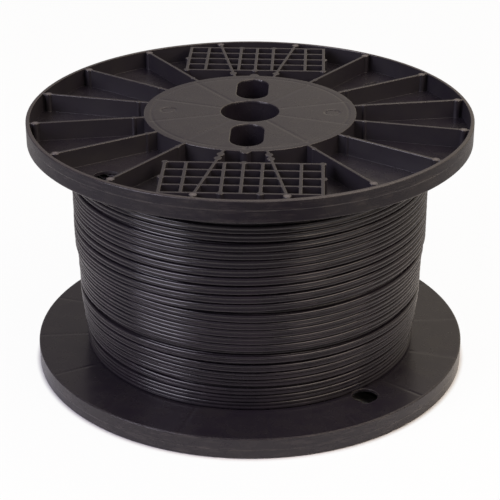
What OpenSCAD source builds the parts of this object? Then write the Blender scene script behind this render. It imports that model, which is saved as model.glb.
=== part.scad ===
// Flanged reel wound with flat two-core cable. Millimetres, +Z up.
// The origin is the centre of the face that the reel stands on, and Z is the reel's axis.
// The drive slots and the label grids of the upper flange lie on the Y axis.
// The two flanges are one moulding, used twice: the lower one is turned over.

/* [Flange] */
// Diameter of both flanges
flange_d = 304.8; // [290:0.1:340]
// Depth of a flange, from its inner face to the tops of its rim and ribs
flange_h = 14.9; // [12:0.1:20]
// Thickness of the rim wall
rim_t = 2.5; // [2:0.1:4]
// Chamfer on the outer edges of the rim
rim_chamfer = 0.6; // [0.3:0.1:1]
// Thickness of the web, the floor between the ribs
web_t = 2.2; // [1.6:0.1:3.5]
// Number of radial ribs
rib_n = 16; // [16:1:16]
// Thickness of a radial rib
rib_t = 1.8; // [1.4:0.1:3]
// Diameter of the ejector pads at the ribs' outer ends, and on the ribs that cross a grid
rib_pad_d = 5; // [4:0.1:6.5]
// Diameter of the ejector pads at the ribs' hub ends
rib_hub_pad_d = 3.2; // [3:0.1:4.5]

/* [Hub] */
// Diameter of the hub disc
hub_d = 145; // [138:0.1:152]
// Thickness of the hub disc
hub_plate_t = 2.6; // [2:0.1:4]
// Thickness of the hub wall, which goes on into the barrel as a spigot
hub_wall_t = 2.6; // [2:0.1:3.5]
// How far the spigot reaches into the barrel
spigot_l = 14; // [13:0.1:20]
// Diameter of the arbor bore
bore_d = 40.2; // [36:0.1:42]
// Wall of the bore tube
bore_wall_t = 3; // [2:0.1:4]
// Width of a drive slot
slot_w = 22.4; // [20.5:0.1:25]
// Wall of a drive slot's sleeve
slot_wall_t = 2.2; // [1.5:0.1:3]
// Material between the bore and a drive slot
slot_bore_gap = 4.2; // [4:0.1:6]
// Distance from a drive slot's far end to the edge of the hub
slot_edge_gap = 8; // [7:0.1:10]
// Thickness of the ribs under the hub disc
hub_rib_t = 2; // [1.5:0.1:3]

/* [Label grid] */
// Width of a label grid, between the centres of its end bars
grid_w = 100; // [94:0.1:104]
// Distance from the hub to the nearest bar's centre
grid_hub_gap = 19.5; // [18:0.1:24]
// How much nearer to the hub the +Y grid begins
grid_back_start = 7.3; // [0:0.1:8]
// How much farther from the rim the +Y grid ends
grid_back_end = 4.8; // [0:0.1:8]
// Pitch of the bars that run outwards
grid_pitch = 12.15; // [11.5:0.05:12.5]
// Thickness of the bars that run outwards
grid_bar_t = 2; // [1.6:0.1:3]
// Thickness of the bars that run across
grid_cross_t = 1.4; // [1.2:0.1:2.2]
// Number of rows of cells
grid_rows = 4; // [3:1:5]

/* [Wire holes] */
// Diameter of a wire hole through the web
wire_hole_d = 17.6; // [14:0.1:19]
// Distance from the inside of the rim to a wire hole's centre
wire_hole_inset = 25.5; // [22:0.1:28]

/* [Barrel] */
// Clear width between the flanges
traverse = 152.4; // [120:0.1:200]
// Wall of the barrel
barrel_t = 3.4; // [3:0.1:5]
// Radial clearance between the barrel and the spigots
barrel_fit = 0.3; // [0.2:0.05:0.5]
// Number of snap barbs on each spigot
snap_n = 8; // [4:1:8]
// Width of a snap barb
barb_w = 9; // [7:0.1:11]
// How far a snap barb stands out
barb_h = 2; // [1.5:0.1:2.4]
// Length of a snap barb along the axis
barb_l = 5; // [4:0.1:6]
// Distance from the flange to the catching edge of a barb
barb_inset = 6.5; // [5:0.1:7]
// Turn of the lower flange against the upper one
lower_turn = -4; // [-4:0.5:4]

/* [Cable] */
// Width of the flat cable
cable_w = 5.4; // [5:0.1:6]
// Thickness of the flat cable
cable_t = 2.7; // [2.4:0.1:3]
// Diameter of one copper conductor
conductor_d = 1.4; // [1:0.1:1.8]
// Diameter over the outermost layer
winding_d = 246.8; // [220:0.1:262]
// Drop in radius from the outermost layer to the full layer under it
layer_step = 2.4; // [1.5:0.1:2.7]
// Height above the lower flange at which the outermost layer starts
layer_edge_h = 63; // [40:1:80]
// Height over which the turns climb onto the outermost layer
layer_climb_h = 17; // [12:1:25]
// Drop in radius of the layer where it meets the lower flange
foot_drop = 3.8; // [2:0.1:4.5]
// Height above the lower flange over which the layer draws in
foot_h = 40; // [30:1:50]
// Least space between neighbouring turns
turn_gap = 0.65; // [0.6:0.05:1]
// Space between the end turns and the flanges
end_gap = 0.6; // [0.4:0.1:1.5]

/* [Hidden] */
$fn = 96;
moulded_black = "#2b2a2b";
jacket_black = "#232224";
copper = "#b8734a";

// Flange
flange_r = flange_d / 2;
rim_in_r = flange_r - rim_t;
lower_face = flange_h;
upper_face = flange_h + traverse;
rib_step = 360 / rib_n;
joint_bite = 0.5;                       // how far joined shapes reach into each other
cut = 1;                                // how far cutters pass the faces that they cut
rib_pad_rim_gap = 3.9;                  // rim to the centre of the outer pads
rib_pad_hub_gap = 7;                    // hub to the centre of the inner pads
grid_rib_pad_gap = 14;                  // hub to the second pad of the ribs that cross the -Y grid

// Hub
hub_r = hub_d / 2;
bore_r = bore_d / 2;
hub_depth = flange_h + spigot_l;
slot_in = bore_r + slot_bore_gap;
slot_out = hub_r - slot_edge_gap;
slot_l = slot_out - slot_in;
slot_mid = (slot_in + slot_out) / 2;
hub_rib_angles = [18, 54, 126, 162, 198, 234, 306, 342];
hub_nub_r = 3.4;
hub_nub_out = 0.3;                      // how far a nub's centre lies outside the hub
ejector_mark_d = 9;
ejector_mark_at = hub_r - 16.5;
mark_depth = 0.12;
ring_mark_r = hub_r - 5;
ring_mark_w = 2.8;
ring_mark_depth = 0.16;
ring_mark_over = 0.1;                   // how far the ring mark's cutter stands over the face

// Label grid
grid_y0 = hub_r + grid_hub_gap;
grid_half_w = (grid_w + grid_bar_t) / 2;
grid_y1 = sqrt(rim_in_r * rim_in_r - grid_half_w * grid_half_w) - grid_cross_t / 2;
grid_columns = [-grid_w / 2, -3 * grid_pitch, -grid_pitch, 0, grid_pitch, 3 * grid_pitch, grid_w / 2];
grid_pad_d = 4.2;

// Wire holes
wire_hole_r = wire_hole_d / 2;
wire_hole_at = rim_in_r - wire_hole_inset;
wire_hole_angles = [45, 225];
wire_corner_turn = -10;                 // turn of the corner's first side from the outward direction
wire_corner_side = 0.95 * wire_hole_r;  // the corner's sides cross the circle, and don't touch it along a tangent
wire_corner_r = 1.17 * wire_hole_r;     // the corner is rounded off at this radius

// Barrel
barrel_in_r = hub_r + barrel_fit;
barrel_r = barrel_in_r + barrel_t;
barb_tip_h = 0.1;                       // height of a barb's leading edge
barb_slit = 1.5;                        // width of the slits that free each snap finger
barb_slit_gap = 2;                      // barb to slit
barb_slit_end = 1.5;                    // from the end of a slit to the flange
window_fit = 0.2;                       // from a barb's catching edge to its window
window_tip_room = 1;                    // from a barb's leading edge to its window
window_turn_room = 7;                   // on each side, for the lower flange's turn
window_w = barb_w + 2 * window_turn_room;
window_l = barb_l + window_fit + window_tip_room;
snap_first = 22.5;
start_hole_d = 9;
start_hole_h = 26;                      // above the lower flange
start_angle = -18;

// Cable
loop_rings = 24;                        // rings in one turn of the tube
core_gap = 0.3;
core_steps = 20;                        // steps in the core's outline up to the outermost layer
side_gap = 0.3;
chord_fix = 2 / (1 + cos(180 / loop_rings));
outer_mid_r = winding_d / 2 - cable_t / 2;
turns = min(24, floor((traverse - 2 * end_gap - cable_w) / (cable_w + turn_gap)));
first_z = lower_face + end_gap + cable_w / 2;
turn_pitch = (traverse - 2 * end_gap - cable_w) / turns;
wind_from = 100;                        // angle at which the layer starts and ends
climb_z0 = lower_face + layer_edge_h;
climb_z1 = climb_z0 + layer_climb_h;
inner_drop = cable_t / 2 + (outer_mid_r * chord_fix) * (1 - cos(180 / loop_rings)) + core_gap;
tail_bend_r = 11;
tail_reach = 6;                         // straight stretch through the barrel's wall
tail_l = 62;
tail_steps = 8;
strip_l = 1.5;                          // bare copper at a cut end
conductor_pitch = cable_w / 2;

// Section of the flat cable: two ridges outwards with a groove between them
ridge_z = 0.27 * cable_w;
groove_r = 0.26 * cable_t;
cable_section = [[cable_t / 2, ridge_z], [groove_r, 0], [cable_t / 2, -ridge_z],
                 [0, -cable_w / 2], [-cable_t / 2, 0], [0, cable_w / 2]];

// 0 below a, 1 above b and smooth between
function ease(x, a, b) = let (t = max(0, min(1, (x - a) / (b - a)))) t * t * (3 - 2 * t);

// Radius of the middle of the outer layer at height z
function layer_r(z) = chord_fix * (outer_mid_r - layer_step * (1 - ease(z, climb_z0, climb_z1))
                                   - foot_drop * (1 - ease(z, lower_face, lower_face + foot_h)));

// One ring of the outer layer's tube: i counts rings along the winding
function wound_ring(i) =
    let (a = wind_from + 360 * i / loop_rings, z = first_z + turn_pitch * i / loop_rings, r = layer_r(z))
    [for (s = cable_section) [(r + s[0]) * cos(a), (r + s[0]) * sin(a), z + s[1]]];

// The same ring, moved straight along the winding by d
function straight_ring(i, d) =
    let (a = wind_from + 360 * i / loop_rings, step = [-sin(a) * d, cos(a) * d, 0])
    [for (p = wound_ring(i)) p + step];

last_ring = turns * loop_rings;
wound_rings = concat([straight_ring(0, -cable_w)], [for (i = [0:last_ring]) wound_ring(i)],
                     [straight_ring(last_ring, cable_w)]);

// Least distance between each ring and the three that lie over it one turn on
least_gap = min([for (i = [0:len(wound_rings) - 2 - loop_rings]) for (j = [-1:1])
                 for (p = wound_rings[i]) for (q = wound_rings[i + loop_rings + j]) norm(p - q)]);
echo(turns = turns, turn_pitch = turn_pitch, least_gap_between_turns_mm = least_gap);

// A closed tube through rings of equal size
module tube_through(rings) {
    sides = len(rings[0]);
    last = len(rings) - 1;
    points = [for (ring = rings) for (p = ring) p];
    walls = [for (i = [0:last - 1]) for (k = [0:sides - 1])
        let (a = i * sides + k, b = i * sides + (k + 1) % sides)
        each [[a, b, a + sides], [b, b + sides, a + sides]]];
    start_cap = [for (k = [1:sides - 2]) [0, k + 1, k]];
    end_cap = [for (k = [1:sides - 2]) [last * sides, last * sides + k, last * sides + k + 1]];
    polyhedron(points = points, faces = concat(walls, start_cap, end_cap), convexity = 6);
}

// Repeats its children at n equal steps round the axis
module around(n, first = 0) {
    for (k = [0:n - 1]) rotate([0, 0, first + k * 360 / n]) children();
}

// Plan of a slot with round ends, along Y
module slot_plan(w, l) {
    square([w, l - w], center = true);
    for (y = [-1, 1]) translate([0, y * (l - w) / 2]) circle(d = w, $fn = 48);
}

// Plan of one label grid, on the +Y side, from y0 to y1
module grid_plan(y0, y1) {
    row_pitch = (y1 - y0) / grid_rows;
    for (x = grid_columns) {
        translate([x - grid_bar_t / 2, y0 - grid_cross_t / 2]) square([grid_bar_t, y1 - y0 + grid_cross_t]);
    }
    for (row = [0:grid_rows]) {
        translate([-grid_half_w, y0 + row * row_pitch - grid_cross_t / 2])
            square([2 * grid_half_w, grid_cross_t]);
    }
    for (x = [-1, 1]) {
        translate([x * grid_w / 2, y0]) circle(d = grid_pad_d, $fn = 32);
        translate([x * (grid_w / 2 + grid_bar_t / 3), (y0 + y1) / 2]) circle(d = grid_pad_d, $fn = 32);
        translate([x * grid_pitch, y1]) circle(d = grid_pad_d, $fn = 32);
    }
    translate([0, y0]) circle(d = grid_pad_d, $fn = 32);
}

// The pads near the hub on the two ribs that cross the +Y grid
module grid_rib_pads(gap) {
    for (a = [-1, 1]) rotate(90 + a * rib_step / 2) translate([hub_r + gap, 0]) circle(d = rib_pad_d, $fn = 32);
}

// Plan of a radial rib with its ejector pads, along +X
module rib_plan() {
    translate([hub_r - hub_wall_t / 2, -rib_t / 2]) square([rim_in_r + joint_bite - hub_r + hub_wall_t / 2, rib_t]);
    translate([hub_r + rib_pad_hub_gap, 0]) circle(d = rib_hub_pad_d, $fn = 32);
    translate([rim_in_r - rib_pad_rim_gap, 0]) circle(d = rib_pad_d, $fn = 32);
}

// Plan of a wire hole about its centre, with its one corner outwards
module wire_hole_plan() {
    circle(r = wire_hole_r, $fn = 64);
    rotate(wire_corner_turn) intersection() {
        square(wire_corner_side);
        circle(r = wire_corner_r, $fn = 64);
    }
}

module rim() {
    rotate_extrude() polygon([
        [rim_in_r, 0], [flange_r - rim_chamfer, 0], [flange_r, rim_chamfer],
        [flange_r, flange_h - rim_chamfer], [flange_r - rim_chamfer, flange_h], [rim_in_r, flange_h]]);
}

// The ribs, the pads and the label grids, at the flange's full depth
module rib_work() {
    linear_extrude(flange_h) {
        around(rib_n, rib_step / 2) rib_plan();
        grid_plan(grid_y0 - grid_back_start, grid_y1 - grid_back_end);
        rotate(180) {
            grid_plan(grid_y0, grid_y1);
            grid_rib_pads(grid_rib_pad_gap);
        }
        for (side = [0, 180]) rotate(side) {
            grid_rib_pads(rib_pad_hub_gap);
            translate([0, hub_r + hub_nub_out]) circle(r = hub_nub_r, $fn = 32);
        }
    }
}

// Disc, wall, spigot, bore tube and slot sleeves, before they are bored
module hub_body() {
    translate([0, 0, flange_h - hub_plate_t]) cylinder(r = hub_r, h = hub_plate_t);
    translate([0, 0, -spigot_l]) difference() {
        cylinder(r = hub_r, h = hub_depth);
        translate([0, 0, -cut]) cylinder(r = hub_r - hub_wall_t, h = hub_depth + 2 * cut);
    }
    translate([0, 0, -spigot_l]) {
        cylinder(r = bore_r + bore_wall_t, h = hub_depth);
        for (y = [-1, 1]) translate([0, y * slot_mid]) linear_extrude(hub_depth)
            slot_plan(slot_w + 2 * slot_wall_t, slot_l + 2 * slot_wall_t);
    }
    linear_extrude(flange_h) for (a = hub_rib_angles) rotate(a)
        translate([bore_r + bore_wall_t / 2, -hub_rib_t / 2])
            square([hub_r - bore_r - (hub_wall_t + bore_wall_t) / 2, hub_rib_t]);
}

// Wedges that click into the barrel's windows
module snap_barbs() {
    around(snap_n, snap_first) rotate([90, 0, 0]) linear_extrude(barb_w, center = true) polygon([
        [hub_r - joint_bite, -barb_inset], [hub_r + barb_h, -barb_inset],
        [hub_r + barb_tip_h, -barb_inset - barb_l], [hub_r - joint_bite, -barb_inset - barb_l]]);
}

// Slits on both sides of each barb, which leave it on a springy finger
module snap_slits() {
    at = barb_w / 2 + barb_slit_gap;
    around(snap_n, snap_first) for (side = [-1, 1])
        translate([hub_r - 2 * hub_wall_t, side * at - barb_slit / 2, -spigot_l - cut])
            cube([3 * hub_wall_t, barb_slit, spigot_l - barb_slit_end + cut]);
}

// Shallow marks that the mould leaves in the hub disc
module mould_marks() {
    for (x = [-1, 1]) translate([x * ejector_mark_at, 0, flange_h - mark_depth])
        cylinder(d = ejector_mark_d, h = mark_depth + cut, $fn = 48);
    spread = ring_mark_w / 2 * (1 + ring_mark_over / ring_mark_depth);
    rotate_extrude() polygon([
        [ring_mark_r, flange_h - ring_mark_depth], [ring_mark_r + spread, flange_h + ring_mark_over],
        [ring_mark_r - spread, flange_h + ring_mark_over]]);
}

// One flange, with its inner face at z = 0 and its rib tops at z = flange_h
module flange() {
    difference() {
        union() {
            difference() {
                cylinder(r = flange_r - rim_t / 2, h = web_t);
                translate([0, 0, -cut]) cylinder(r = hub_r - hub_wall_t / 2, h = web_t + 2 * cut);
            }
            rim();
            rib_work();
            hub_body();
            snap_barbs();
        }
        translate([0, 0, -spigot_l - cut]) cylinder(r = bore_r, h = hub_depth + 2 * cut);
        for (y = [-1, 1]) translate([0, y * slot_mid, -spigot_l - cut]) linear_extrude(hub_depth + 2 * cut)
            slot_plan(slot_w, slot_l);
        for (a = wire_hole_angles) rotate([0, 0, a]) translate([wire_hole_at, 0, -cut])
            linear_extrude(web_t + 2 * cut) wire_hole_plan();
        snap_slits();
        mould_marks();
    }
}

module upper_flange() {
    color(moulded_black) translate([0, 0, upper_face]) flange();
}

module lower_flange() {
    color(moulded_black) translate([0, 0, lower_face]) rotate([0, 0, lower_turn]) rotate([0, 180, 0]) flange();
}

// Tube between the flanges, with a row of windows at each end and the cable's start hole
module barrel() {
    color(moulded_black) translate([0, 0, lower_face]) difference() {
        cylinder(r = barrel_r, h = traverse);
        translate([0, 0, -cut]) cylinder(r = barrel_in_r, h = traverse + 2 * cut);
        for (z = [barb_inset - window_fit, traverse - barb_inset + window_fit - window_l])
            around(snap_n, snap_first) translate([barrel_in_r - barrel_t, -window_w / 2, z])
                cube([3 * barrel_t, window_w, window_l]);
        translate([0, 0, start_hole_h]) rotate([0, 90, start_angle]) cylinder(d = start_hole_d, h = barrel_r + cut);
    }
}

// The layers under the outer one, as one plain body that follows the outer layer's radius
module cable_inner_layers() {
    bottom = lower_face + side_gap;
    top = upper_face - side_gap;
    heights = concat([for (k = [0:core_steps - 1]) bottom + k * (climb_z1 - bottom) / core_steps], [climb_z1, top]);
    color(jacket_black) rotate_extrude() polygon(concat(
        [[barrel_r + core_gap, top], [barrel_r + core_gap, bottom]],
        [for (z = heights) [layer_r(z) - inner_drop, z]]));
}

// The outer layer, as one unbroken tube from flange to flange
module cable_outer_layer() {
    color(jacket_black) tube_through(wound_rings);
}

// Ring of the start tail: at distance along the reel's radius and height, facing the angle tilt
function tail_ring(r, z, tilt) =
    [for (s = cable_section) let (u = s[1], v = s[0]) [r + v * sin(tilt), u, z + v * cos(tilt)]];
tail_from = barrel_r + core_gap / 2;
tail_in = barrel_in_r - tail_reach;
tail_rings = concat(
    [tail_ring(tail_from, 0, 0)],
    [for (k = [0:tail_steps]) let (a = 90 * k / tail_steps)
        tail_ring(tail_in - tail_bend_r * sin(a), tail_bend_r * (1 - cos(a)), a)],
    [tail_ring(tail_in - tail_bend_r, tail_bend_r + tail_l, 90)]);

// The cable's inner end, which comes through the barrel's wall and stands up inside it
module cable_start_tail() {
    color(jacket_black) translate([0, 0, lower_face + start_hole_h]) rotate([0, 0, start_angle])
        tube_through(tail_rings);
}

// Bare copper at the cable's two cut ends
module copper_conductors() {
    end_angle = wind_from;
    end_z = first_z + turn_pitch * turns;
    end_r = layer_r(end_z);
    color(copper) {
        for (side = [-1, 1]) rotate([0, 0, end_angle])
            translate([end_r, cable_w, end_z + side * conductor_pitch / 2])
                rotate([-90, 0, 0]) cylinder(d = conductor_d, h = strip_l, $fn = 24);
        for (side = [-1, 1]) rotate([0, 0, start_angle])
            translate([tail_in - tail_bend_r, side * conductor_pitch / 2,
                       lower_face + start_hole_h + tail_bend_r + tail_l])
                cylinder(d = conductor_d, h = strip_l, $fn = 24);
    }
}

upper_flange();
lower_flange();
barrel();
cable_inner_layers();
cable_outer_layer();
cable_start_tail();
copper_conductors();
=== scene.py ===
"""Ribbed plastic cable reel, wound full with flat two-core cable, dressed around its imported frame. Metres."""
import math
import random

import bmesh
import bpy
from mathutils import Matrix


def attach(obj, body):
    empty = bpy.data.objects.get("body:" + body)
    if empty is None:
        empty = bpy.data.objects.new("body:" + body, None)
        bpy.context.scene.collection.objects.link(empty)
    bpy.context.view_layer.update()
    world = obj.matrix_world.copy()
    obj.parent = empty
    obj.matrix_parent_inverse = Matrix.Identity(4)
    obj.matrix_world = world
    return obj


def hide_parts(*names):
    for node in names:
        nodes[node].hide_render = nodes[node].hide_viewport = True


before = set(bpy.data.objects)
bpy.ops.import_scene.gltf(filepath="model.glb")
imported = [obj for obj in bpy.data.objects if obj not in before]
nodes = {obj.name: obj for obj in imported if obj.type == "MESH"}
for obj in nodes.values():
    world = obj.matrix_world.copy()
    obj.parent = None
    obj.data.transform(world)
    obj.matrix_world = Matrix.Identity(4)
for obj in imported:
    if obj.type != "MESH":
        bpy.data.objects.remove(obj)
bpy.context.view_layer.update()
scene = bpy.context.scene

MM = 0.001
TURN = 2 * math.pi

# ---------------------------------------------------------------- camera
VIEW_TURN = 2.45           # degrees that the camera stands round the reel, towards +X
VIEW_DOWN = 0.4471         # angle that it looks down, in radians

camera_data = bpy.data.cameras.new("reel_camera")
camera_data.sensor_width = 36
camera_data.lens = 114.72
camera_data.clip_end = 60
camera = bpy.data.objects.new("reel_camera", camera_data)
camera.location = (0.0437, -1.0222, 0.5675)
camera.rotation_euler = (math.pi / 2 - VIEW_DOWN, 0, math.radians(VIEW_TURN))
scene.collection.objects.link(camera)
scene.camera = camera
scene.view_settings.view_transform = "Standard"

# ---------------------------------------------------------------- the reel's own sizes, in mm and degrees
LOWER_FACE = 14.9          # inner face of the lower flange
UPPER_FACE = 167.3         # inner face of the upper flange
REEL_H = 182.2
BARREL_R = 76.2
BARREL_IN_R = 72.8
LOWER_TURN = -4            # the lower flange is turned over, and by this much against the upper one
FRONT_AZ = VIEW_TURN - 90  # direction of the reel's front

# a flange
RIBS = 16
RIB_PHASE = 11.25          # angle of the upper flange's first rib
HUB_RIBS = 10              # places for ribs under the hub disc; the drive slots take two of them
HUB_RIB_PHASE = 18
HUB_LINES_R = 70.0         # the lines over the hub's ribs end here, and those over the flange's ribs begin
LIP_R = 66.0               # inside of this the edges have soft lips
RIM_FACE_R = 152.1         # beyond this is the rim's outer face
RIM_TOP_R = 151.3          # middle of the rim's top
RIM_TOP_W = 2.2            # half its width
PAD_AT = 146.0             # radius of the pads at the ribs' outer ends
PAD_W = 3.4                # their radius
EJECTOR_AT = 56.0          # distance of the ejector marks from the reel's axis
EJECTOR_R = 4.9            # radius of their rings
UPPER_PARTING = 175.8      # height of the mould's parting line on the upper rim
LOWER_PARTING = 6.4
POCKET_MIDDLE = 0.537      # middle of a pocket's depth, as a share of the flange's depth
POCKET_HALF = 6.2          # half of a pocket's depth

# a flange's skin
SINK_W, HUB_SINK_W = 2.2, 2.4              # half width of the lines over the ribs
SINK_DEPTH = 0.17
RING_W, RING_SHARE = 1.3, 1.6              # half width of an ejector's ring, and its depth in sink depths
PARTING_W, PARTING_STEP = 0.2, 0.20        # half width and height of the parting line's step
FLASH_W = 0.45                             # half width of the flash on it
WAVE_L, WAVE_DEPTH = 35, 0.6
GRAIN_L, GRAIN_DEPTH = 1.0, 0.02
SCUFF_L = 14
STREAK_SLIM = 7.0                          # the streaks round the rim are this many times as long as high
TOP_EDGE, LIP_EDGE = 0.6, 1.2              # how far the edges are rounded
POCKET_EDGE, BORE_EDGE = 0.45, 2.6

# the cable
CABLE_W = 5.42
CABLE_T = 2.7
LOBE_R = CABLE_T / 2       # radius of one insulated core
LOBE_AT = CABLE_W / 2 - LOBE_R
LOBE_ARC = 280             # degrees of its outline beside the groove
LOBE_STEPS = 10
GROOVE_R = 0.82            # half the thickness of the web between the two cores
SQUARENESS = 0.84          # 1 is a round core; a wound one is pressed a little square by its neighbours
LAYER_DOWN = 2.62          # from one layer of cable to the next
WIND_FROM = 100            # angle at which the cable's outer end stands
DIE_STREAK_W, DIE_STREAK_L = 1.0, 250
DIE_STREAK_DEPTH = 0.02
DULL_L = 22                # duller lengths that handling leaves
COPPER_PATCH_L = 0.8


# ---------------------------------------------------------------- materials
def linear(code):
    """An sRGB hex colour as linear RGBA."""
    parts = [int(code[i:i + 2], 16) / 255 for i in (1, 3, 5)]
    return tuple(c / 12.92 if c <= 0.04045 else ((c + 0.055) / 1.055) ** 2.4 for c in parts) + (1.0,)


def add(tree, kind, inputs=None, stops=(), **settings):
    """Adds a shader node with its settings and links.

    An input is a value, or the output that feeds it. stops are the places and colours of a colour ramp.
    """
    made = tree.nodes.new("ShaderNode" + kind)
    for name, value in settings.items():
        setattr(made, name, value)
    if stops:
        for place, _ in stops[2:]:
            made.color_ramp.elements.new(place)
        for element, (place, colour) in zip(made.color_ramp.elements, stops):
            element.position = place
            element.color = colour
    for name, value in (inputs or {}).items():
        if isinstance(value, bpy.types.NodeSocket):
            tree.links.new(value, made.inputs[name])
        else:
            made.inputs[name].default_value = value
    return made


def new_material(name):
    """An empty material, and its tree and output node."""
    material = bpy.data.materials.new(name)
    material.use_nodes = True
    material.node_tree.nodes.clear()
    return material, material.node_tree, add(material.node_tree, "OutputMaterial")


def line_mask(tree, distance, half_width):
    """1 on a line and 0 beyond half_width of it, with soft sides. distance is a socket, in metres."""
    away = add(tree, "Math", {0: distance}, operation="ABSOLUTE").outputs[0]
    return add(tree, "MapRange", {"Value": away, "From Max": half_width, "To Min": 1.0, "To Max": 0.0},
               interpolation_type="SMOOTHSTEP").outputs[0]


def flange_marks(tree, place, rib_phase, hub_phase, parting_z, smooth_z, outer_z):
    """Where a flange's parts and mould marks lie: masks from 0 to 1, by name.

    The two phases are angles in degrees. The three heights, in metres, are those of the rim's parting line,
    the smooth inner face and the ribs' tops.
    """
    x, y, z = add(tree, "SeparateXYZ", {0: place}).outputs
    outwards = add(tree, "CombineXYZ", {0: x, 1: y}).outputs[0]
    radius = add(tree, "VectorMath", {0: outwards}, operation="LENGTH").outputs["Value"]
    angle = add(tree, "Math", {0: y, 1: x}, operation="ARCTAN2").outputs[0]

    def spokes(count, phase, half_width):
        """Lines that run outwards at equal angles, one over each rib."""
        step = TURN / count
        off = add(tree, "Math", {0: angle, 1: math.radians(phase) - step / 2},
                  operation="SUBTRACT").outputs[0]
        inside = add(tree, "Math", {0: off, 1: step}, operation="FLOORED_MODULO").outputs[0]
        turned = add(tree, "Math", {0: inside, 1: step / 2}, operation="SUBTRACT").outputs[0]
        across = add(tree, "Math", {0: turned, 1: radius}, operation="MULTIPLY").outputs[0]
        return line_mask(tree, across, half_width)

    on_hub = add(tree, "MapRange", {"Value": radius, "From Min": (HUB_LINES_R - 0.5) * MM,
                                    "From Max": (HUB_LINES_R + 0.5) * MM,
                                    "To Min": 1.0, "To Max": 0.0}).outputs[0]
    off_disc = add(tree, "MapRange", {"Value": radius, "From Min": (LIP_R - 0.5) * MM,
                                      "From Max": (LIP_R + 0.5) * MM}).outputs[0]
    on_rim = add(tree, "MapRange", {"Value": radius, "From Min": (RIM_FACE_R - 0.1) * MM,
                                    "From Max": (RIM_FACE_R + 0.1) * MM}).outputs[0]
    over_top = add(tree, "Math", {0: z, 1: outer_z}, operation="SUBTRACT").outputs[0]
    on_top = line_mask(tree, over_top, 0.5 * MM)

    # the skin sinks over each rib, on the smooth face and on the hub disc
    over_face = add(tree, "Math", {0: z, 1: smooth_z}, operation="SUBTRACT").outputs[0]
    off_hub = add(tree, "Math", {0: 1.0, 1: on_hub}, operation="SUBTRACT").outputs[0]
    on_face = add(tree, "Math", {0: line_mask(tree, over_face, 1.0 * MM), 1: off_hub},
                  operation="MULTIPLY").outputs[0]
    sunk = add(tree, "Math", {0: spokes(RIBS, rib_phase, SINK_W * MM), 1: on_face},
               operation="MULTIPLY").outputs[0]
    sunk = add(tree, "Math", {0: spokes(HUB_RIBS, hub_phase, HUB_SINK_W * MM), 1: on_hub, 2: sunk},
               operation="MULTIPLY_ADD").outputs[0]
    # the ejectors leave a fine ring in the hub disc, on both sides of the bore
    either_side = add(tree, "Math", {0: x}, operation="ABSOLUTE").outputs[0]
    aside = add(tree, "Math", {0: either_side, 1: EJECTOR_AT * MM}, operation="SUBTRACT").outputs[0]
    from_ejector = add(tree, "VectorMath", {0: add(tree, "CombineXYZ", {0: aside, 1: y}).outputs[0]},
                       operation="LENGTH").outputs["Value"]
    off_ring = add(tree, "Math", {0: from_ejector, 1: EJECTOR_R * MM}, operation="SUBTRACT").outputs[0]
    ring = add(tree, "Math", {0: line_mask(tree, off_ring, RING_W * MM), 1: RING_SHARE},
               operation="MULTIPLY").outputs[0]
    sunk = add(tree, "Math", {0: ring, 1: on_hub, 2: sunk}, operation="MULTIPLY_ADD").outputs[0]

    # the mould's parting line round the rim: a step, with a fine flash on it
    up_rim = add(tree, "Math", {0: z, 1: parting_z}, operation="SUBTRACT").outputs[0]
    step_up = add(tree, "MapRange", {"Value": up_rim, "From Min": -PARTING_W * MM,
                                     "From Max": PARTING_W * MM},
                  interpolation_type="SMOOTHSTEP").outputs[0]
    parting = add(tree, "Math", {0: step_up, 1: on_rim}, operation="MULTIPLY").outputs[0]
    flash = add(tree, "Math", {0: line_mask(tree, up_rim, FLASH_W * MM), 1: on_rim},
                operation="MULTIPLY").outputs[0]

    # the round pads at the ribs' outer ends, and the rim's top
    off_pad = add(tree, "Math", {0: radius, 1: PAD_AT * MM}, operation="SUBTRACT").outputs[0]
    pad = add(tree, "Math", {0: line_mask(tree, off_pad, PAD_W * MM), 1: spokes(RIBS, rib_phase, PAD_W * MM)},
              operation="MULTIPLY").outputs[0]
    pad = add(tree, "Math", {0: pad, 1: on_top}, operation="MULTIPLY").outputs[0]
    off_rim = add(tree, "Math", {0: radius, 1: RIM_TOP_R * MM}, operation="SUBTRACT").outputs[0]
    rim_top = add(tree, "Math", {0: line_mask(tree, off_rim, RIM_TOP_W * MM), 1: on_top},
                  operation="MULTIPLY").outputs[0]

    # what other things can reach: 0 down in the pockets, between the web and the ribs' tops, and 1 elsewhere
    pocket_middle = smooth_z + POCKET_MIDDLE * (outer_z - smooth_z)
    over_middle = add(tree, "Math", {0: z, 1: pocket_middle}, operation="SUBTRACT").outputs[0]
    from_middle = add(tree, "Math", {0: over_middle}, operation="ABSOLUTE").outputs[0]
    in_reach = add(tree, "MapRange", {"Value": from_middle, "From Min": (POCKET_HALF - 0.1) * MM,
                                      "From Max": (POCKET_HALF + 0.1) * MM}).outputs[0]
    return {"on_hub": on_hub, "off_disc": off_disc, "on_rim": on_rim, "on_top": on_top, "sunk": sunk,
            "parting": parting, "flash": flash, "pad": pad, "rim_top": rim_top, "in_reach": in_reach}


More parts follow.
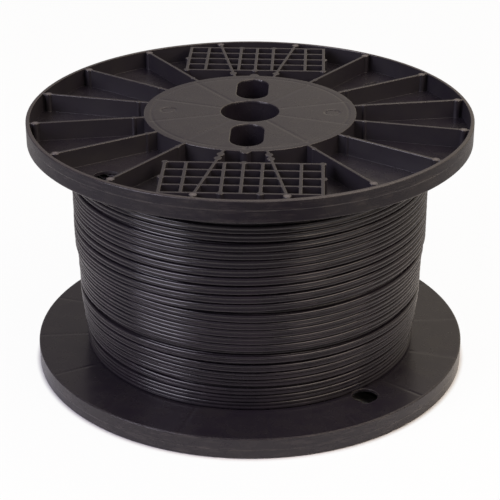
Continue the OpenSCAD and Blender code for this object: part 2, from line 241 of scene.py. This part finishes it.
def moulded_polystyrene(name, rib_phase, hub_phase, parting_z, smooth_z, outer_z):
    """Black high-impact polystyrene, injection moulded in a polished tool.

    A satin black with a clean, slightly wavy skin. Over each rib the skin sinks a little, so light bends
    along faint lines. The tool's parting line runs round the rim, and every edge is rounded enough to catch
    the light.
    """
    material, tree, output = new_material(name)
    place = add(tree, "TexCoord").outputs["Object"]
    at = flange_marks(tree, place, rib_phase, hub_phase, parting_z, smooth_z, outer_z)

    # flow waves 35 mm long, a moulded grain of 0.5 mm, drawn at 1 mm so that it shows, and scuffs of 14 mm
    waves = add(tree, "TexNoise", {"Vector": place, "Scale": 1 / (WAVE_L * MM), "Detail": 2.0,
                                   "Roughness": 0.4}).outputs["Fac"]
    grain = add(tree, "TexNoise", {"Vector": place, "Scale": 1 / (GRAIN_L * MM), "Detail": 3.0,
                                   "Roughness": 0.55}).outputs["Fac"]
    scuffs = add(tree, "TexNoise", {"Vector": place, "Scale": 1 / (SCUFF_L * MM), "Detail": 3.0,
                                    "Roughness": 0.5}).outputs["Fac"]

    # the edges are tight at the ribs' and the rim's tops and down in the pockets, and the holes have soft
    # lips. The radius in the hub is so large that the walls of the bore and the slots are smooth all round
    tight = add(tree, "Math", {0: at["off_disc"], 1: at["on_top"]}, operation="MULTIPLY").outputs[0]
    open_edge = add(tree, "MapRange", {"Value": tight, "To Min": LIP_EDGE * MM,
                                       "To Max": TOP_EDGE * MM}).outputs[0]
    deep_edge = add(tree, "MapRange", {"Value": at["on_hub"], "To Min": POCKET_EDGE * MM,
                                       "To Max": BORE_EDGE * MM}).outputs[0]
    edge_r = add(tree, "MapRange", {"Value": at["in_reach"], "To Min": deep_edge,
                                    "To Max": open_edge}).outputs[0]
    rounded = add(tree, "Bevel", {"Radius": edge_r}, samples=8).outputs[0]

    # the sink lines and the parting line's step are 0.05 mm deep. Both are drawn deeper so that they show
    bump = add(tree, "Bump", {"Strength": 0.8, "Distance": WAVE_DEPTH * MM, "Height": waves,
                              "Normal": rounded}).outputs[0]
    bump = add(tree, "Bump", {"Strength": 0.10, "Distance": GRAIN_DEPTH * MM, "Height": grain,
                              "Normal": bump}).outputs[0]
    bump = add(tree, "Bump", {"Strength": 1.0, "Distance": SINK_DEPTH * MM, "Height": at["sunk"],
                              "Normal": bump}, invert=True).outputs[0]
    bump = add(tree, "Bump", {"Strength": 1.0, "Distance": PARTING_STEP * MM, "Height": at["parting"],
                              "Normal": bump}).outputs[0]

    # worn edges: where the rounded normal leaves the flat one the plastic is rubbed and drawn lighter, which is
    # also a painted highlight along the edges. Nothing rubs it down in the pockets
    flat = add(tree, "NewGeometry").outputs["True Normal"]
    same = add(tree, "VectorMath", {0: flat, 1: rounded}, operation="DOT_PRODUCT").outputs["Value"]
    edge = add(tree, "MapRange", {"Value": same, "From Min": 0.80, "From Max": 0.985, "To Min": 1.0,
                                  "To Max": 0.0}).outputs[0]
    edge = add(tree, "Math", {0: edge, 1: at["in_reach"]}, operation="MULTIPLY").outputs[0]
    # handling draws thin streaks round the rim, 14 mm long and 2 mm apart
    round_rim = add(tree, "VectorMath", {0: place, 1: (1.0, 1.0, STREAK_SLIM)},
                    operation="MULTIPLY").outputs[0]
    streaks = add(tree, "TexNoise", {"Vector": round_rim, "Scale": 1 / (SCUFF_L * MM), "Detail": 3.0,
                                     "Roughness": 0.6}).outputs["Fac"]
    drawn = add(tree, "MapRange", {"Value": streaks, "From Min": 0.50, "From Max": 0.68}).outputs[0]
    drawn = add(tree, "Math", {0: drawn, 1: at["on_rim"]}, operation="MULTIPLY").outputs[0]
    # it breaks the flash off in places
    kept = add(tree, "MapRange", {"Value": scuffs, "From Min": 0.46, "From Max": 0.54,
                                  "To Min": 0.1}).outputs[0]
    flash = add(tree, "Math", {0: at["flash"], 1: kept}, operation="MULTIPLY").outputs[0]
    # the pads and the rim's top are rubbed by the next reel of a stack, and are drawn lighter as a painted
    # highlight along them too
    wear_and_sheen = 0.0
    for where, share in ((edge, 0.5), (at["pad"], 0.5), (flash, 0.45), (drawn, 0.20), (at["rim_top"], 0.25)):
        wear_and_sheen = add(tree, "Math", {0: where, 1: share, 2: wear_and_sheen}, operation="MULTIPLY_ADD",
                   use_clamp=True).outputs[0]

    shade = add(tree, "ValToRGB", {"Fac": scuffs}, stops=[
        (0.30, linear("#1f1b23")), (0.52, linear("#221f25")), (0.75, linear("#252226"))]).outputs["Color"]
    # the light grey is real wear and painted highlight both: on the edges, the pads and the rim's top
    shade = add(tree, "Mix", {"Factor": wear_and_sheen, 6: shade, 7: linear("#605a58")}, data_type="RGBA").outputs[2]
    # the pads go lighter still: a painted highlight, standing in for the glints on their domed tops
    painted_pad_highlight = add(tree, "Math", {0: at["pad"], 1: 0.20}, operation="MULTIPLY").outputs[0]
    shade = add(tree, "Mix", {"Factor": painted_pad_highlight, 6: shade, 7: linear("#9a9698")},
                data_type="RGBA").outputs[2]

    rough = add(tree, "MapRange", {"Value": scuffs, "From Min": 0.35, "From Max": 0.70, "To Min": 0.24,
                                   "To Max": 0.30}).outputs[0]
    rough = add(tree, "Math", {0: wear_and_sheen, 1: -0.08, 2: rough}, operation="MULTIPLY_ADD").outputs[0]
    # the ribs' sides come from slots that are only milled, and have a duller skin than the polished web
    upright = add(tree, "SeparateXYZ", {0: flat}).outputs[2]
    smooth_side = add(tree, "Math", {0: upright}, operation="ABSOLUTE").outputs[0]
    for where in ("in_reach", "on_rim", "on_hub"):
        smooth_side = add(tree, "Math", {0: smooth_side, 1: at[where]}, operation="MAXIMUM").outputs[0]
    rough = add(tree, "MapRange", {"Value": smooth_side, "To Min": 0.48, "To Max": rough}).outputs[0]

    plastic = add(tree, "BsdfPrincipled", {"Base Color": shade, "Roughness": rough, "IOR": 1.5,
                                           "Normal": bump})
    tree.links.new(plastic.outputs[0], output.inputs["Surface"])
    return material


def extruded_pvc(name):
    """Black plasticised PVC, extruded over two cores.

    Semi-gloss: each core shows one long bright line. The die leaves hair-fine streaks along the cable, and
    handling leaves soft duller lengths of a few centimetres.
    """
    material, tree, output = new_material(name)
    place = add(tree, "TexCoord").outputs["Object"]
    x, y, z = add(tree, "SeparateXYZ", {0: place}).outputs
    outwards = add(tree, "CombineXYZ", {0: x, 1: y}).outputs[0]
    radius = add(tree, "VectorMath", {0: outwards}, operation="LENGTH").outputs["Value"]
    # die streaks of 0.1 mm, drawn 1 mm wide so that they show. The radius is the noise's fourth coordinate
    slim = (DIE_STREAK_W / DIE_STREAK_L, DIE_STREAK_W / DIE_STREAK_L, 1.0)
    along = add(tree, "VectorMath", {0: place, 1: slim}, operation="MULTIPLY").outputs[0]
    across = add(tree, "Math", {0: radius, 1: 1 / (DIE_STREAK_W * MM)}, operation="MULTIPLY").outputs[0]
    streaks = add(tree, "TexNoise", {"Vector": along, "W": across, "Scale": 1 / (DIE_STREAK_W * MM),
                                     "Detail": 1.0}, noise_dimensions="4D").outputs["Fac"]
    bump = add(tree, "Bump", {"Strength": 0.04, "Distance": DIE_STREAK_DEPTH * MM,
                              "Height": streaks}).outputs[0]
    lengths = add(tree, "TexNoise", {"Vector": place, "Scale": 1 / (DULL_L * MM), "Detail": 4.0,
                                     "Roughness": 0.6}).outputs["Fac"]
    shade = add(tree, "ValToRGB", {"Fac": lengths}, stops=[
        (0.35, linear("#1e1b21")), (0.68, linear("#252027"))]).outputs["Color"]
    rough = add(tree, "MapRange", {"Value": lengths, "From Min": 0.3, "From Max": 0.72, "To Min": 0.18,
                                   "To Max": 0.26}).outputs[0]
    jacket = add(tree, "BsdfPrincipled", {"Base Color": shade, "Roughness": rough, "IOR": 1.50,
                                          "Normal": bump})
    tree.links.new(jacket.outputs[0], output.inputs["Surface"])
    return material


def drawn_copper(name):
    """Bare annealed copper, drawn into fine wire. Warm and bright, dulled brown in patches by air."""
    material, tree, output = new_material(name)
    place = add(tree, "TexCoord").outputs["Object"]
    patches = add(tree, "TexNoise", {"Vector": place, "Scale": 1 / (COPPER_PATCH_L * MM),
                                     "Detail": 3.0}).outputs["Fac"]
    shade = add(tree, "ValToRGB", {"Fac": patches}, stops=[
        (0.35, linear("#c9814f")), (0.70, linear("#a9623c"))]).outputs["Color"]
    rough = add(tree, "MapRange", {"Value": patches, "From Min": 0.3, "From Max": 0.7, "To Min": 0.24,
                                   "To Max": 0.42}).outputs[0]
    copper = add(tree, "BsdfPrincipled", {"Base Color": shade, "Roughness": rough, "Metallic": 1.0})
    tree.links.new(copper.outputs[0], output.inputs["Surface"])
    return material


upper_plastic = moulded_polystyrene("black_polystyrene_upper", RIB_PHASE, HUB_RIB_PHASE, UPPER_PARTING * MM,
                                    UPPER_FACE * MM, REEL_H * MM)
lower_plastic = moulded_polystyrene("black_polystyrene_lower", 180 - RIB_PHASE + LOWER_TURN,
                                    180 - HUB_RIB_PHASE + LOWER_TURN, LOWER_PARTING * MM,
                                    LOWER_FACE * MM, 0.0)
# the barrel has the same skin and none of a flange's marks: their heights are a metre below it
barrel_plastic = moulded_polystyrene("black_polystyrene_barrel", 0, 0, -1.0, -1.0, -1.0)
cable_pvc = extruded_pvc("black_pvc_jacket")
bare_copper = drawn_copper("drawn_copper_wire")

for node, material in (("upper_flange", upper_plastic), ("lower_flange", lower_plastic),
                       ("barrel", barrel_plastic)):
    nodes[node].data.materials.clear()
    nodes[node].data.materials.append(material)


# ---------------------------------------------------------------- the winding
def stepwise(points, x):
    """The straight-line chart through points, (x, y) pairs in order, read at x."""
    for (x0, y0), (x1, y1) in zip(points, points[1:]):
        if x <= x1:
            return y0 + (y1 - y0) * max(0.0, (x - x0) / (x1 - x0))
    return points[-1][1]


# radius over the outer layer by height: full above 96 mm, a layer down below it, least at the lower flange
LAYER_R = ((14.9, 116.8), (25, 117.5), (36, 118.6), (45, 119.7), (54, 120.7), (60, 120.8), (78, 121.2),
           (82, 121.4), (87, 122.0), (92, 123.0), (96, 123.4), (168, 123.4))

# middle of each turn of the outer layer, bottom to top, at five angles from the front
TURN_AZ = (-60, -24, 0, 24, 60)
TURN_Z = (
    (18.0, 18.0, 18.0, 18.0, 18.2), (24.0, 23.6, 23.4, 23.5, 24.8), (33.2, 29.6, 28.9, 29.0, 31.2),
    (38.6, 37.3, 35.5, 35.8, 37.7), (43.9, 42.9, 40.9, 42.1, 43.8), (50.2, 48.8, 47.3, 47.8, 49.2),
    (56.8, 54.9, 54.6, 54.4, 55.3), (65.5, 64.2, 62.9, 63.4, 64.3), (70.9, 69.7, 68.3, 69.2, 69.9),
    (76.5, 75.2, 73.7, 74.7, 75.5), (82.1, 80.7, 79.2, 80.3, 81.4), (88.0, 86.5, 84.8, 86.1, 87.5),
    (93.4, 93.0, 93.8, 95.6, 97.6), (98.8, 99.1, 99.8, 101.5, 103.3),
    (105.2, 105.2, 106.5, 107.9, 109.6), (112.2, 112.0, 112.9, 114.7, 116.0),
    (118.7, 118.4, 118.9, 121.0, 122.2), (124.9, 124.8, 125.0, 126.3, 128.0),
    (130.7, 130.7, 130.8, 131.7, 133.7), (136.2, 136.1, 136.4, 137.7, 139.6),
    (144.2, 143.8, 143.5, 143.8, 145.9), (149.7, 149.3, 149.0, 149.3, 151.4),
    (155.2, 155.5, 155.9, 156.3, 157.2), (160.7, 161.2, 161.6, 162.1, 162.8),
)
START_Z = 18.0
END_Z = 164.0
END_R = 122.57             # middle of the cable at its cut end
END_L = 5.4                # straight length before the cut
FROM_FRONT = WIND_FROM - FRONT_AZ - 360    # WIND_FROM counted from the front, a turn back

OUTER_STEPS = 120          # sections in a turn of the outer layer
CLIMB_TURN = 0.09          # part of a turn in which the cable climbs to the outer layer
SETTLE_TURN = 0.10         # part of a turn in which it settles to its cut end
OUTER_KNOTS, OUTER_KNOT_STEP = 404, 0.11   # knots of its wobble, and how many of them a section is long
LIFT, STAND = 0.07, 0.11   # the most that it wobbles along the reel, and outwards
ROLL = 0.06                # the same for its roll, in radians
CALM_H = 3.0               # it lies still on the lower flange, and wobbles fully this far above
EVEN_STEPS = 5             # it is stiff: its heights are evened out over this many sections to each side
UNDER_STEPS = 84
UNDER_TURNS = 26
UNDER_KNOTS, UNDER_KNOT_STEP = 304, 0.12
UNDER_SINK = 0.10          # the most that it dips inwards

CORE_GAP = 0.3             # from the body of inner layers to the flanges and the barrel
CORE_DOWN = 0.15           # how far it lies deeper than its layer
CORE_SIDES = 120
RIDGE_W = 2.75
RIDGE_STEPS = 6
RIDGE_SHARE = 0.7          # how much of a cable core's roundness a ridge has


def eased(t):
    """t, from 0 to 1, with a soft start and a soft end."""
    return t * t * (3 - 2 * t)


def turned(angle, out, side, z):
    """The point that lies out from the reel's axis at an angle, in degrees, and side to the left of that."""
    c, s = math.cos(math.radians(angle)), math.sin(math.radians(angle))
    return out * c - side * s, out * s + side * c, z


def cable_section():
    """Outline of the flat cable, (outwards, along the reel): two round cores with a groove between them."""
    outline = []
    for side, middle in ((1, 90), (-1, 270)):
        for k in range(LOBE_STEPS + 1):
            a = math.radians(middle - LOBE_ARC / 2 + LOBE_ARC * k / LOBE_STEPS)
            out, up = (math.copysign(abs(w) ** SQUARENESS, w) for w in (math.cos(a), math.sin(a)))
            outline.append((LOBE_R * out, side * LOBE_AT + LOBE_R * up))
        outline.append((-GROOVE_R * side, 0.0))
    return outline


SECTION = cable_section()


def new_piece(name, vertices, faces, smooth, material):
    """A piece of the reel from points in mm and faces. smooth says which faces are shaded smooth."""
    mesh = bpy.data.meshes.new(name)
    mesh.from_pydata([(x * MM, y * MM, z * MM) for x, y, z in vertices], [], faces)
    mesh.polygons.foreach_set("use_smooth", smooth)
    mesh.materials.append(material)
    piece = bpy.data.objects.new(name, mesh)
    scene.collection.objects.link(piece)
    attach(piece, "root")
    return piece


def side_faces(first, rings, sides):
    """The faces round a tube whose points, from number first, stand in rings."""
    faces = []
    for i in range(rings - 1):
        a, b = first + i * sides, first + (i + 1) * sides
        faces += [(a + k, a + (k + 1) % sides, b + (k + 1) % sides, b + k) for k in range(sides)]
    return faces


def cable_tube(name, rings, closed_ends=True):
    """A stretch of cable through rings of equal size, in mm, with smooth sides and flat ends."""
    sides = len(rings[0])
    vertices = [point for ring in rings for point in ring]
    faces = side_faces(0, len(rings), sides)
    smooth = [True] * len(faces)
    if closed_ends:
        faces += [tuple(reversed(range(sides))), tuple(range(len(vertices) - sides, len(vertices)))]
        smooth += [False, False]
    piece = new_piece(name, vertices, faces, smooth, cable_pvc)
    return piece


def turn_outwards(piece, weld=False):
    """Turns every face of a closed piece outwards. weld joins points that lie in one place first."""
    form = bmesh.new()
    form.from_mesh(piece.data)
    if weld:
        bmesh.ops.remove_doubles(form, verts=form.verts, dist=1e-6)
    bmesh.ops.recalc_face_normals(form, faces=form.faces)
    form.to_mesh(piece.data)
    form.free()


def turn_chart():
    """(angle from the front, height) all along the outer layer."""
    chart = [(FROM_FRONT, START_Z)]
    for k, heights in enumerate(TURN_Z):
        chart += [(az + 360 * k, z) for az, z in zip(TURN_AZ, heights)]
    chart.append((FROM_FRONT + 360 * len(TURN_Z), END_Z))
    return chart


def slow_wobble(draw, knots, size):
    """A smooth random course between -size and size, as a function of the place along it, in knots."""
    levels = [draw.uniform(-size, size) for _ in range(knots)]

    def value(x):
        i = int(x)
        t = eased(x - i)
        return levels[i] * (1 - t) + levels[i + 1] * t
    return value


def cable_ring(angle, radius, z, roll):
    """The cable's section at an angle from the front, in degrees, rolled by roll."""
    c, s = math.cos(roll), math.sin(roll)
    return [turned(angle + FRONT_AZ, radius + out * c - up * s, 0, z + out * s + up * c)
            for out, up in SECTION]


def outer_turns():
    """The outer layer: one unbroken cable from the lower flange up to the upper one."""
    chart = turn_chart()
    count = len(TURN_Z) * OUTER_STEPS
    angles = [FROM_FRONT + 360 * i / OUTER_STEPS for i in range(count + 1)]
    heights = [stepwise(chart, angle) for angle in angles]
    window = 2 * EVEN_STEPS + 1
    for _ in range(2):
        padded = [heights[0]] * EVEN_STEPS + heights + [heights[-1]] * EVEN_STEPS
        heights = [sum(padded[i:i + window]) / window for i in range(len(heights))]
    draw = random.Random(11)
    lift = slow_wobble(draw, OUTER_KNOTS, LIFT)
    stand = slow_wobble(draw, OUTER_KNOTS, STAND)
    roll = slow_wobble(draw, OUTER_KNOTS, ROLL)
    rings = []
    for i, (angle, z) in enumerate(zip(angles, heights)):
        x = i * OUTER_KNOT_STEP
        climbed = eased(min(1.0, i / (OUTER_STEPS * CLIMB_TURN)))
        near_end = max(0.0, 1 - (count - i) / (OUTER_STEPS * SETTLE_TURN))
        middle = stepwise(LAYER_R, z) - LOBE_R - LAYER_DOWN * (1 - climbed)
        middle += (END_R - middle) * near_end
        calm = 1 - near_end
        off_flange = max(0.0, min(1.0, (z - START_Z) / CALM_H))
        rings.append(cable_ring(angle, middle + stand(x) * calm, z + lift(x) * calm * off_flange,
                                roll(x) * calm))
    dx, dy, _ = turned(angles[-1] + FRONT_AZ, 0, END_L, 0)
    rings.append([(x + dx, y + dy, z) for x, y, z in rings[-1]])
    piece = cable_tube("cable_outer_turns", rings)
    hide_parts("cable_outer_layer")
    turn_outwards(piece)


def under_turns():
    """The layer under it: wound the other way, down to where the outer layer starts."""
    count = UNDER_TURNS * UNDER_STEPS
    dip = slow_wobble(random.Random(23), UNDER_KNOTS, UNDER_SINK)
    rings = []
    for i in range(count + 1):
        angle = FROM_FRONT - 360 * UNDER_TURNS + 360 * i / UNDER_STEPS
        z = END_Z + (START_Z - END_Z) * i / count
        middle = stepwise(LAYER_R, z) - LOBE_R - LAYER_DOWN
        rings.append(cable_ring(angle, middle - abs(dip(i * UNDER_KNOT_STEP)), z, 0.0))
    piece = cable_tube("cable_under_turns", rings)
    turn_outwards(piece)
    return piece


def core_turns():
    """Every layer below, as one ridged body: each ridge is one core of the cable."""
    top, bottom = UPPER_FACE - CORE_GAP, LOWER_FACE + CORE_GAP
    count = int((top - bottom) / RIDGE_W) * RIDGE_STEPS
    profile = [(BARREL_R + CORE_GAP, bottom)]
    for i in range(count + 1):
        z = bottom + (top - bottom) * i / count
        across = 2 * (i % RIDGE_STEPS) / RIDGE_STEPS - 1
        bulge = LOBE_R * (math.sqrt(1 - across ** 2) - 1) * RIDGE_SHARE
        profile.append((stepwise(LAYER_R, z) - 2 * LAYER_DOWN - CORE_DOWN + bulge, z))
    profile.append((BARREL_R + CORE_GAP, top))
    rings = [[turned(360 * k / CORE_SIDES, r, 0, z) for r, z in profile] for k in range(CORE_SIDES)]
    rings.append(rings[0])
    piece = cable_tube("cable_core_turns", rings, closed_ends=False)
    turn_outwards(piece, weld=True)
    return piece


outer_turns()
under = under_turns()
core = core_turns()
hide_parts("cable_inner_layers")
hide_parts("cable_inner_layers")

# ---------------------------------------------------------------- the cable's inner end
START_ANGLE = -18
START_H = 40.9
TAIL_FROM = BARREL_R + 0.15
TAIL_IN = BARREL_IN_R - 6  # where its bend upwards begins
TAIL_BEND_R = 11
TAIL_L = 62                # length that stands up inside the barrel
WALL_STEPS, BEND_STEPS, UP_STEPS = 4, 16, 8


def tail_ring(r, z, tilt):
    """The section on the inner end's way: tilt 0 runs inwards, and a quarter turn upwards."""
    return [turned(START_ANGLE, r + out * math.sin(tilt), side, z + out * math.cos(tilt))
            for out, side in SECTION]


def inner_end():
    """The cable's inner end, through the barrel's wall and up inside it."""
    rings = [tail_ring(TAIL_FROM + (TAIL_IN - TAIL_FROM) * k / WALL_STEPS, START_H, 0)
             for k in range(WALL_STEPS)]
    for k in range(BEND_STEPS + 1):
        a = math.pi / 2 * k / BEND_STEPS
        rings.append(tail_ring(TAIL_IN - TAIL_BEND_R * math.sin(a),
                               START_H + TAIL_BEND_R * (1 - math.cos(a)), a))
    for k in range(1, UP_STEPS + 1):
        rings.append(tail_ring(TAIL_IN - TAIL_BEND_R, START_H + TAIL_BEND_R + TAIL_L * k / UP_STEPS,
                               math.pi / 2))
    piece = cable_tube("cable_inner_end", rings)
    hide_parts("cable_start_tail")
    turn_outwards(piece)


# ---------------------------------------------------------------- bare copper at the two cut ends
CORE_PITCH = 2.7           # between the cable's two conductors
WIRE_R = 0.225
WIRES_ROUND = 6            # a conductor is this many wires round one more
WIRE_OFF = 2.05 * WIRE_R
WIRE_LAY = 9.0             # length of one twist
WIRE_SIDES = 10
# along a wire: distance from the jacket's cut, and share of the radius. It starts inside and has a round tip
WIRE_STATIONS = ((-0.375, 1), (0, 1), (0.375, 1), (0.75, 1), (1.125, 1), (1.4, 1), (1.5, 0.5))


def bare_ends():
    """The four conductors at their cuts: the place, then the directions along, outwards and across."""
    ends = []
    for side in (-1, 1):
        ends.append((turned(WIND_FROM, END_R, END_L, END_Z + side * CORE_PITCH / 2),
                     turned(WIND_FROM, 0, 1, 0), turned(WIND_FROM, 1, 0, 0), (0, 0, 1)))
    for side in (-1, 1):
        ends.append((turned(START_ANGLE, TAIL_IN - TAIL_BEND_R, side * CORE_PITCH / 2,
                            START_H + TAIL_BEND_R + TAIL_L),
                     (0, 0, 1), turned(START_ANGLE, 1, 0, 0), turned(START_ANGLE, 0, 1, 0)))
    return ends


def copper_wires():
    """Seven twisted wires for each of the four bare conductor ends, in one mesh."""
    vertices, faces = [], []
    for start, along, outwards, across in bare_ends():
        for wire in range(WIRES_ROUND + 1):
            first = len(vertices)
            off = 0 if wire == WIRES_ROUND else WIRE_OFF
            for way, share in WIRE_STATIONS:
                twist = TURN * (wire / WIRES_ROUND + way / WIRE_LAY)
                for k in range(WIRE_SIDES):
                    a = TURN * k / WIRE_SIDES
                    u = off * math.cos(twist) + share * WIRE_R * math.cos(a)
                    v = off * math.sin(twist) + share * WIRE_R * math.sin(a)
                    vertices.append([p + way * q + u * r + v * s
                                     for p, q, r, s in zip(start, along, outwards, across)])
            faces += side_faces(first, len(WIRE_STATIONS), WIRE_SIDES)
            faces += [tuple(range(first, first + WIRE_SIDES)),
                      tuple(range(len(vertices) - WIRE_SIDES, len(vertices)))]
    piece = new_piece("copper_wires", vertices, faces, [len(face) == 4 for face in faces], bare_copper)
    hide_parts("copper_conductors")
    turn_outwards(piece)


inner_end()
copper_wires()


# ---------------------------------------------------------------- floor, background and light, in metres
FLOOR_REACH = 9.0
FLOOR_SIDES = 48
FLOOR_DROP = 0.0002        # the paper lies this far under the reel
FLOOR_SEEN = 0.95          # how much of the floor's plain white the camera sees
FLOOR_MIRRORED = 0.14      # how much of it shows in reflections
ROOM_MIRRORED = 0.08       # the same for the room
# light of the room from its dark front end (0) over its sides (0.5) to its back wall (1)
ROOM_LEVELS = ((0.0, 0.05), (0.22, 0.07), (0.5, 0.20), (0.8, 0.58), (1.0, 0.73))
DARK_END = (0.12, -0.60, 0.0)
LIGHT_AIM = 0.09           # height that the lights face


def paper_floor():
    """A wide sheet of white paper, which keeps the reel's shadow.

    In front, towards the dark end of the studio, the paper is unlit. Only reflections show that part grey.
    """
    material, tree, output = new_material("white_paper_floor")
    rays = add(tree, "LightPath")
    place = add(tree, "TexCoord").outputs["Object"]
    from_axis = add(tree, "VectorMath", {0: place}, operation="LENGTH").outputs["Value"]
    seen = add(tree, "Math", {0: rays.outputs["Is Camera Ray"], 1: rays.outputs["Is Transmission Ray"]},
               operation="MAXIMUM").outputs[0]
    to_eye = add(tree, "Math", {0: seen, 1: FLOOR_SEEN}, operation="MULTIPLY").outputs[0]
    mirrored = add(tree, "Math", {0: rays.outputs["Is Glossy Ray"], 1: FLOOR_MIRRORED},
                   operation="MULTIPLY").outputs[0]
    share = add(tree, "Math", {0: to_eye, 1: mirrored}, operation="MAXIMUM").outputs[0]
    # under the reel no white shows, so that the holes through its flanges look into shade
    clear_of_reel = add(tree, "MapRange", {"Value": from_axis, "From Min": 0.1515, "From Max": 0.156},
                        interpolation_type="SMOOTHSTEP").outputs[0]
    share = add(tree, "Math", {0: share, 1: clear_of_reel}, operation="MULTIPLY").outputs[0]
    from_dark_end = add(tree, "VectorMath", {0: place, 1: DARK_END}, operation="DISTANCE").outputs["Value"]
    lit = add(tree, "MapRange", {"Value": from_dark_end, "From Min": 0.08, "From Max": 0.47},
              interpolation_type="SMOOTHSTEP").outputs[0]
    lit = add(tree, "Math", {0: lit, 1: seen}, operation="MAXIMUM").outputs[0]
    share = add(tree, "Math", {0: share, 1: lit}, operation="MULTIPLY").outputs[0]
    # away from the reel the light on the paper falls off, to all but the camera
    far_off = add(tree, "MapRange", {"Value": from_axis, "From Min": 0.20, "From Max": 0.42},
                  interpolation_type="SMOOTHSTEP").outputs[0]
    unseen = add(tree, "Math", {0: 1.0, 1: seen}, operation="SUBTRACT").outputs[0]
    dimmed = add(tree, "Math", {0: far_off, 1: unseen}, operation="MULTIPLY").outputs[0]
    shade = add(tree, "Mix", {"Factor": dimmed, 6: linear("#e4e4e4"), 7: linear("#8c8c8c")},
                data_type="RGBA").outputs[2]
    shade = add(tree, "Mix", {"Factor": lit, 6: linear("#3c3c3e"), 7: shade}, data_type="RGBA").outputs[2]
    paper = add(tree, "BsdfDiffuse", {"Color": shade}).outputs[0]
    white = add(tree, "Emission", {"Color": (1, 1, 1, 1), "Strength": 1.0}).outputs[0]
    mixed = add(tree, "MixShader", {"Fac": share, 1: paper, 2: white}).outputs[0]
    tree.links.new(mixed, output.inputs["Surface"])

    edge = [(FLOOR_REACH * math.cos(TURN * k / FLOOR_SIDES), FLOOR_REACH * math.sin(TURN * k / FLOOR_SIDES),
             -FLOOR_DROP) for k in range(FLOOR_SIDES)]
    faces = [(0, 1 + k, 1 + (k + 1) % FLOOR_SIDES) for k in range(FLOOR_SIDES)]
    mesh = bpy.data.meshes.new("paper_floor")
    mesh.from_pydata([(0, 0, -FLOOR_DROP)] + edge, [], faces)
    mesh.materials.append(material)
    floor = bpy.data.objects.new("paper_floor", mesh)
    scene.collection.objects.link(floor)


def white_room():
    """The room round it: white to the eye and through clear things, and softer in reflections.

    The end of the studio in front of the reel is dark, and the right side is a little brighter and warmer.
    """
    world = bpy.data.worlds.new("white_room")
    scene.world = world
    world.use_nodes = True
    tree = world.node_tree
    tree.nodes.clear()
    rays = add(tree, "LightPath")
    to_right, to_back, _ = add(tree, "SeparateXYZ", {0: add(tree, "TexCoord").outputs["Generated"]}).outputs
    seen = add(tree, "Math", {0: rays.outputs["Is Camera Ray"], 1: rays.outputs["Is Transmission Ray"]},
               operation="MAXIMUM").outputs[0]
    mirrored = add(tree, "Math", {0: rays.outputs["Is Glossy Ray"], 1: ROOM_MIRRORED},
                   operation="MULTIPLY").outputs[0]
    share = add(tree, "Math", {0: seen, 1: mirrored}, operation="MAXIMUM").outputs[0]
    front_to_back = add(tree, "MapRange", {"Value": to_back, "From Min": -1.0}).outputs[0]
    level = add(tree, "ValToRGB", {"Fac": front_to_back}, stops=[
        (place, (grey, grey, grey, 1)) for place, grey in ROOM_LEVELS]).outputs["Color"]
    side = add(tree, "MapRange", {"Value": to_right, "From Min": -0.25, "From Max": 0.45},
               interpolation_type="SMOOTHSTEP").outputs[0]
    tint = add(tree, "Mix", {"Factor": side, 6: linear("#9f9593"), 7: linear("#fff1d6")},
               data_type="RGBA").outputs[2]
    plain = add(tree, "Background", {"Color": tint, "Strength": level}).outputs[0]
    white = add(tree, "Background", {"Color": (1, 1, 1, 1), "Strength": 1.0}).outputs[0]
    mixed = add(tree, "MixShader", {"Fac": share, 1: plain, 2: white}).outputs[0]
    tree.links.new(mixed, add(tree, "OutputWorld").inputs["Surface"])


def soft_light(name, azimuth, elevation, distance, width, height, power, colour):
    """An area light that faces the reel. azimuth counts from the front, towards +X."""
    data = bpy.data.lights.new(name, "AREA")
    data.shape = "RECTANGLE"
    data.size, data.size_y = width, height
    data.energy = power
    data.color = linear(colour)[:3]
    light = bpy.data.objects.new(name, data)
    a, e = math.radians(azimuth + FRONT_AZ), math.radians(elevation)
    light.location = (distance * math.cos(e) * math.cos(a), distance * math.cos(e) * math.sin(a),
                      LIGHT_AIM + distance * math.sin(e))
    light.rotation_euler = (math.pi / 2 - e, 0, a + math.pi / 2)
    scene.collection.objects.link(light)


paper_floor()
white_room()
soft_light("left_softbox", azimuth=-57, elevation=32, distance=1.7, width=0.9, height=1.1, power=23,
           colour="#f2ecfd")
soft_light("right_softbox", azimuth=54, elevation=42, distance=1.7, width=1.4, height=1.1, power=20.5,
           colour="#ffecda")
soft_light("front_top_softbox", azimuth=8, elevation=64, distance=1.8, width=1.4, height=0.9, power=2.5,
           colour="#f6f2ff")
soft_light("top_softbox", azimuth=150, elevation=62, distance=1.8, width=1.6, height=1.2, power=9.5,
           colour="#fff0e2")
